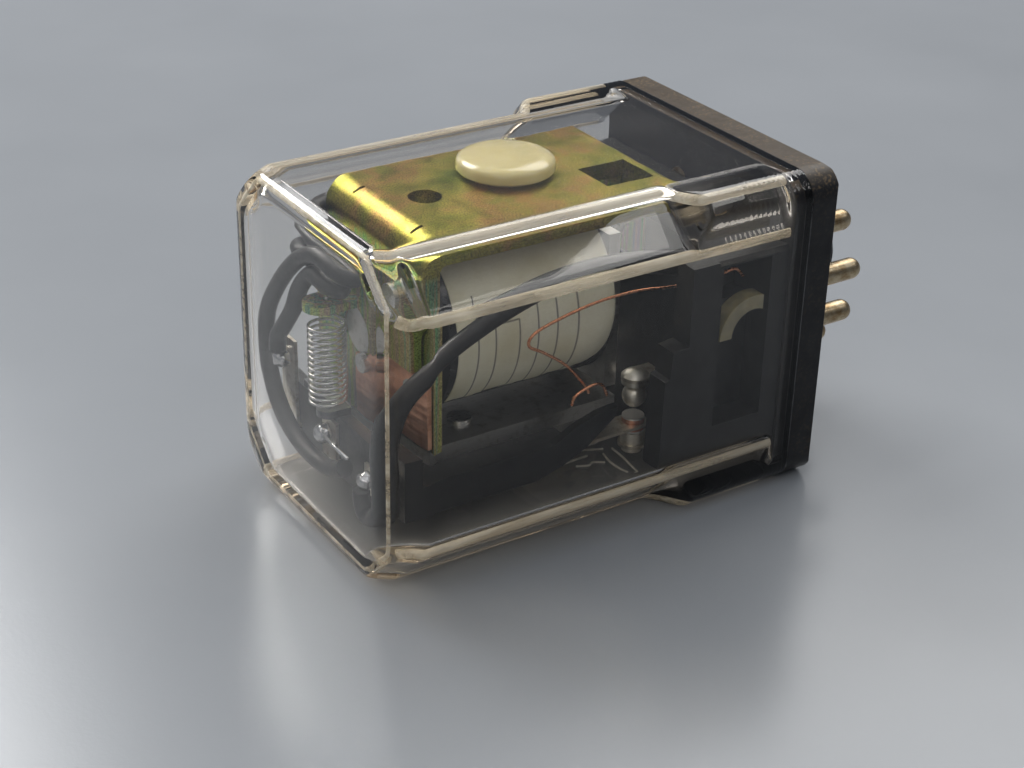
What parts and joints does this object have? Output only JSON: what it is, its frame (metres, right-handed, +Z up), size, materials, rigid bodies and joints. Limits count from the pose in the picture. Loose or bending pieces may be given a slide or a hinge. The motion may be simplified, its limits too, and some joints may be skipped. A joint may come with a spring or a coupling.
{
  "type": "plug-in relay",
  "caption": "Plug-in changeover relay in a clear dust cover, with a hinged armature, coil, return spring, flexible leads and round pins on a keyed base.",
  "frame": {"origin": "on the resting face, under the middle of the bounding box", "axes": "+X from the cover's closed end to the pins, +Y across the body, +Z up from the side it lies on"},
  "size_m": [0.0644, 0.035, 0.035],
  "materials": {
    "clear_cover": "clear polished plastic",
    "black_moulding": "moulded, satin",
    "tinned_pin": "tinned brass, dull",
    "passivated_steel": "yellow passivated zinc, glossy",
    "ivory_nylon": "moulded nylon, satin",
    "plated_steel": "zinc plated",
    "soft_iron": "nickel plated, dull",
    "enamelled_copper": "enamelled copper",
    "black_tape": "smooth tape",
    "label_paper": "bare paper",
    "bronze": "cold rolled bronze",
    "spring_wire": "drawn wire",
    "brass_stud": "turned brass",
    "dark_steel": "blackened steel",
    "solder": "bright solder",
    "contact_strip": "nickel silver strip",
    "copper_rivet": "copper with silver face",
    "silver_rivet": "silver",
    "lead_sleeve": "dark grey insulation"
  },
  "bodies": {
    "frame": {"cover": "clear_cover", "base_plate": "black_moulding", "contact_pins": "tinned_pin", "contact_block": "black_moulding", "yoke": "passivated_steel", "stud_button": "ivory_nylon", "yoke_screw": "plated_steel", "core": "soft_iron", "pole_piece": "soft_iron", "bobbin": "black_moulding", "coil_winding": "enamelled_copper", "coil_tape": "black_tape", "coil_label": "label_paper", "spring_bracket": "passivated_steel", "bracket_rivets": "plated_steel", "hinge_leaf": "bronze", "leaf_rivets": "plated_steel", "return_spring": "spring_wire", "upper_blade_1": "contact_strip", "upper_blade_2": "contact_strip", "upper_blade_3": "contact_strip", "upper_contact_1": "silver_rivet", "upper_contact_2": "silver_rivet", "upper_contact_3": "silver_rivet", "lower_blade_1": "contact_strip", "lower_blade_2": "contact_strip", "lower_blade_3": "contact_strip", "lower_contact_1": "silver_rivet", "lower_contact_2": "silver_rivet", "lower_contact_3": "silver_rivet", "flexible_lead_1": "lead_sleeve", "flexible_lead_2": "lead_sleeve", "flexible_lead_3": "lead_sleeve", "coil_wire_1": "enamelled_copper", "coil_wire_2": "enamelled_copper", "wire_sleeve": "ivory_nylon"},
    "armature": {"armature": "soft_iron", "residual_stud": "brass_stud", "contact_carrier": "black_moulding", "carrier_rivets": "plated_steel", "spring_arm": "dark_steel", "solder_joints": "solder", "moving_blade_1": "contact_strip", "moving_blade_2": "contact_strip", "moving_blade_3": "contact_strip", "moving_contact_1": "copper_rivet", "moving_contact_2": "copper_rivet", "moving_contact_3": "copper_rivet"}
  },
  "joints": [
    {"name": "armature_hinge", "type": "hinge", "parent": "frame", "child": "armature", "pos_m": [-0.02245, 0.0026, 0.0097], "axis": [0, -1, 0], "range_deg": [0, 2.4], "stiffness_Nm_per_rad": 0.003, "springref_deg": -28.65, "deforming": ["return_spring", "flexible_lead_1", "flexible_lead_2", "flexible_lead_3"]}
  ]
}
